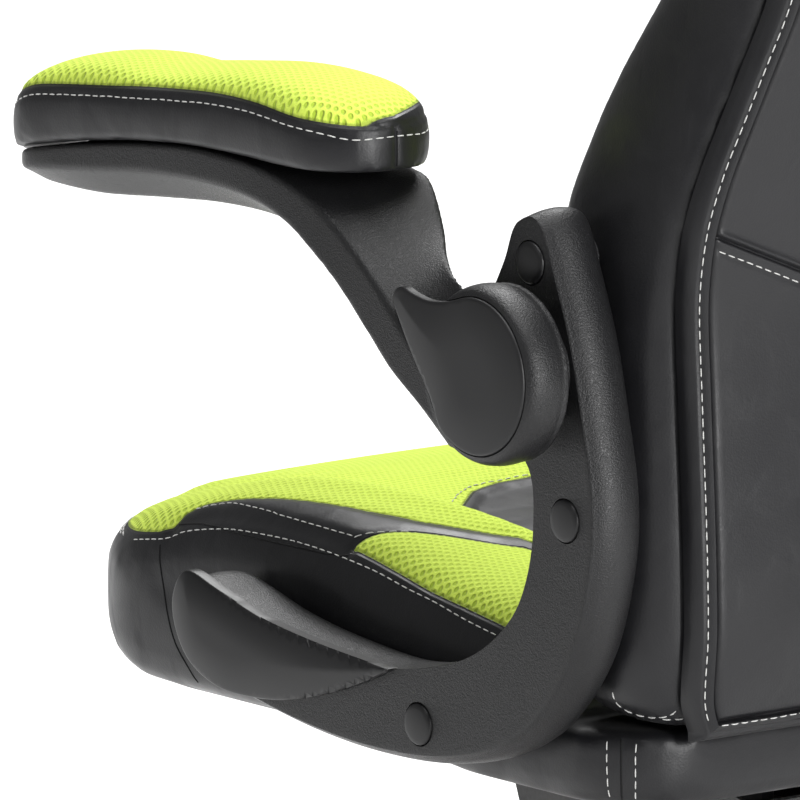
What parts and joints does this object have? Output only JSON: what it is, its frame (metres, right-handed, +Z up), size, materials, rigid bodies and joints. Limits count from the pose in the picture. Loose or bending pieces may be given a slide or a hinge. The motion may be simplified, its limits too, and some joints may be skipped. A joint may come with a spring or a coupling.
{
  "type": "gaming chair",
  "caption": "High-backed swivel chair with a contoured padded seat, flip-up padded arms, height and tilt adjustment, and a five-star base on casters.",
  "frame": {"origin": "on the floor, on the swivel axis, under the middle of the chair's box", "axes": "+Z up, the sitter faces -Y, the sitter's left is +X; gas lift at its lowest, arms down, seat not tilted"},
  "size_m": [0.7446, 0.7727, 1.165],
  "materials": {
    "nylon": "fine moulded grain, satin black",
    "steel": "bright zinc",
    "black_paint": "black powder coat",
    "black_leather": "smooth bonded leather with a soft sheen",
    "cushion_cover": "sewn cover of black coated fabric and green mesh over foam",
    "green_mesh": "open spacer mesh",
    "plywood": "raw moulded ply",
    "tyre": "matt black nylon"
  },
  "bodies": {
    "base": {"star_base": "nylon", "gas_outer_tube": "black_paint", "cover_lower": "nylon"},
    "lift_rod": {"piston_rod": "steel"},
    "cover_middle": {"cover_middle": "nylon"},
    "column": {"gas_inner_tube": "steel", "tilt_housing": "black_paint", "cover_upper": "nylon", "tilt_pin": "steel", "tension_spring": "steel"},
    "valve": {"valve_button": "steel"},
    "height_lever": {"release_cam": "steel", "lever_rod": "steel", "lever_handle": "nylon"},
    "seat": {"seat_plate": "black_paint", "tension_bolt": "steel", "seat_pan": "plywood", "seat_cushion": "cushion_cover", "back_cushion": "cushion_cover", "back_board": "black_leather", "arm_bracket_left": "nylon", "bracket_plug_top_left": "nylon", "bracket_plug_back_left": "nylon", "bracket_plug_seat_left": "nylon", "seat_leaf_cover_left": "nylon", "arm_pivot_bolt_left": "steel", "arm_bracket_right": "nylon", "bracket_plug_top_right": "nylon", "bracket_plug_back_right": "nylon", "bracket_plug_seat_right": "nylon", "seat_leaf_cover_right": "nylon", "arm_pivot_bolt_right": "steel"},
    "tension_knob": {"tension_knob": "nylon"},
    "arm_left": {"flip_arm_left": "nylon", "hub_leaf_cap_left": "nylon", "arm_pad_left": "green_mesh"},
    "arm_right": {"flip_arm_right": "nylon", "hub_leaf_cap_right": "nylon", "arm_pad_right": "green_mesh"},
    "caster_1": {"caster_hood_1": "nylon", "caster_stem_1": "steel"},
    "wheel_1a": {"caster_wheel_1a": "tyre"},
    "wheel_1b": {"caster_wheel_1b": "tyre"},
    "caster_2": {"caster_hood_2": "nylon", "caster_stem_2": "steel"},
    "wheel_2a": {"caster_wheel_2a": "tyre"},
    "wheel_2b": {"caster_wheel_2b": "tyre"},
    "caster_3": {"caster_hood_3": "nylon", "caster_stem_3": "steel"},
    "wheel_3a": {"caster_wheel_3a": "tyre"},
    "wheel_3b": {"caster_wheel_3b": "tyre"},
    "caster_4": {"caster_hood_4": "nylon", "caster_stem_4": "steel"},
    "wheel_4a": {"caster_wheel_4a": "tyre"},
    "wheel_4b": {"caster_wheel_4b": "tyre"},
    "caster_5": {"caster_hood_5": "nylon", "caster_stem_5": "steel"},
    "wheel_5a": {"caster_wheel_5a": "tyre"},
    "wheel_5b": {"caster_wheel_5b": "tyre"}
  },
  "joints": [
    {"name": "seat_swivel", "type": "hinge", "parent": "base", "child": "lift_rod", "pos_m": [0, 0, 0.05], "axis": [0, 0, 1], "continuous": true},
    {"name": "gas_lift", "type": "slide", "parent": "lift_rod", "child": "column", "axis": [0, 0, 1], "range_m": [0, 0.09]},
    {"name": "cover_middle_slide", "type": "slide", "parent": "base", "child": "cover_middle", "axis": [0, 0, 1], "range_m": [0, 0.045]},
    {"name": "tilt", "type": "hinge", "parent": "column", "child": "seat", "pos_m": [0, -0.07, 0.315], "axis": [-1, 0, 0], "range_deg": [0, 12], "stiffness_Nm_per_rad": 220, "springref_deg": -22.92, "deforming": ["tension_spring"]},
    {"name": "tension_knob_turn", "type": "hinge", "parent": "seat", "child": "tension_knob", "pos_m": [0, -0.1, 0.235], "axis": [0, 0, 1], "continuous": true},
    {"name": "height_lever_lift", "type": "hinge", "parent": "column", "child": "height_lever", "pos_m": [0, -0.036, 0.297], "axis": [-1, 0, 0], "range_deg": [0, 6]},
    {"name": "valve_press", "type": "slide", "parent": "column", "child": "valve", "axis": [0, 0, -1], "range_m": [0, 0.004]},
    {"name": "arm_left_flip", "type": "hinge", "parent": "seat", "child": "arm_left", "pos_m": [0.3165, 0.18, 0.575], "axis": [-1, 0, 0], "range_deg": [0, 92]},
    {"name": "arm_right_flip", "type": "hinge", "parent": "seat", "child": "arm_right", "pos_m": [-0.3165, 0.18, 0.575], "axis": [-1, 0, 0], "range_deg": [0, 92]},
    {"name": "caster_swivel_1", "type": "hinge", "parent": "base", "child": "caster_1", "pos_m": [0, -0.335, 0.06], "axis": [0, 0, 1], "continuous": true},
    {"name": "wheel_spin_1a", "type": "hinge", "parent": "caster_1", "child": "wheel_1a", "pos_m": [0, -0.353, 0.0265], "axis": [1, 0, 0], "continuous": true},
    {"name": "wheel_spin_1b", "type": "hinge", "parent": "caster_1", "child": "wheel_1b", "pos_m": [0, -0.353, 0.0265], "axis": [1, 0, 0], "continuous": true},
    {"name": "caster_swivel_2", "type": "hinge", "parent": "base", "child": "caster_2", "pos_m": [0.3186, -0.10352, 0.06], "axis": [0, 0, 1], "continuous": true},
    {"name": "wheel_spin_2a", "type": "hinge", "parent": "caster_2", "child": "wheel_2a", "pos_m": [0.33572, -0.10908, 0.0265], "axis": [0.309, 0.9511, 0], "continuous": true},
    {"name": "wheel_spin_2b", "type": "hinge", "parent": "caster_2", "child": "wheel_2b", "pos_m": [0.33572, -0.10908, 0.0265], "axis": [0.309, 0.9511, 0], "continuous": true},
    {"name": "caster_swivel_3", "type": "hinge", "parent": "base", "child": "caster_3", "pos_m": [0.19691, 0.27102, 0.06], "axis": [0, 0, 1], "continuous": true},
    {"name": "wheel_spin_3a", "type": "hinge", "parent": "caster_3", "child": "wheel_3a", "pos_m": [0.20749, 0.28558, 0.0265], "axis": [-0.809, 0.5878, 0], "continuous": true},
    {"name": "wheel_spin_3b", "type": "hinge", "parent": "caster_3", "child": "wheel_3b", "pos_m": [0.20749, 0.28558, 0.0265], "axis": [-0.809, 0.5878, 0], "continuous": true},
    {"name": "caster_swivel_4", "type": "hinge", "parent": "base", "child": "caster_4", "pos_m": [-0.19691, 0.27102, 0.06], "axis": [0, 0, 1], "continuous": true},
    {"name": "wheel_spin_4a", "type": "hinge", "parent": "caster_4", "child": "wheel_4a", "pos_m": [-0.20749, 0.28558, 0.0265], "axis": [-0.809, -0.5878, 0], "continuous": true},
    {"name": "wheel_spin_4b", "type": "hinge", "parent": "caster_4", "child": "wheel_4b", "pos_m": [-0.20749, 0.28558, 0.0265], "axis": [-0.809, -0.5878, 0], "continuous": true},
    {"name": "caster_swivel_5", "type": "hinge", "parent": "base", "child": "caster_5", "pos_m": [-0.3186, -0.10352, 0.06], "axis": [0, 0, 1], "continuous": true},
    {"name": "wheel_spin_5a", "type": "hinge", "parent": "caster_5", "child": "wheel_5a", "pos_m": [-0.33572, -0.10908, 0.0265], "axis": [0.309, -0.9511, 0], "continuous": true},
    {"name": "wheel_spin_5b", "type": "hinge", "parent": "caster_5", "child": "wheel_5b", "pos_m": [-0.33572, -0.10908, 0.0265], "axis": [0.309, -0.9511, 0], "continuous": true}
  ],
  "couplings": [
    {"joint": "cover_middle_slide", "follows": "gas_lift", "ratio": 0.5},
    {"joint": "valve_press", "follows": "height_lever_lift", "m_per_rad": 0.0362}
  ]
}
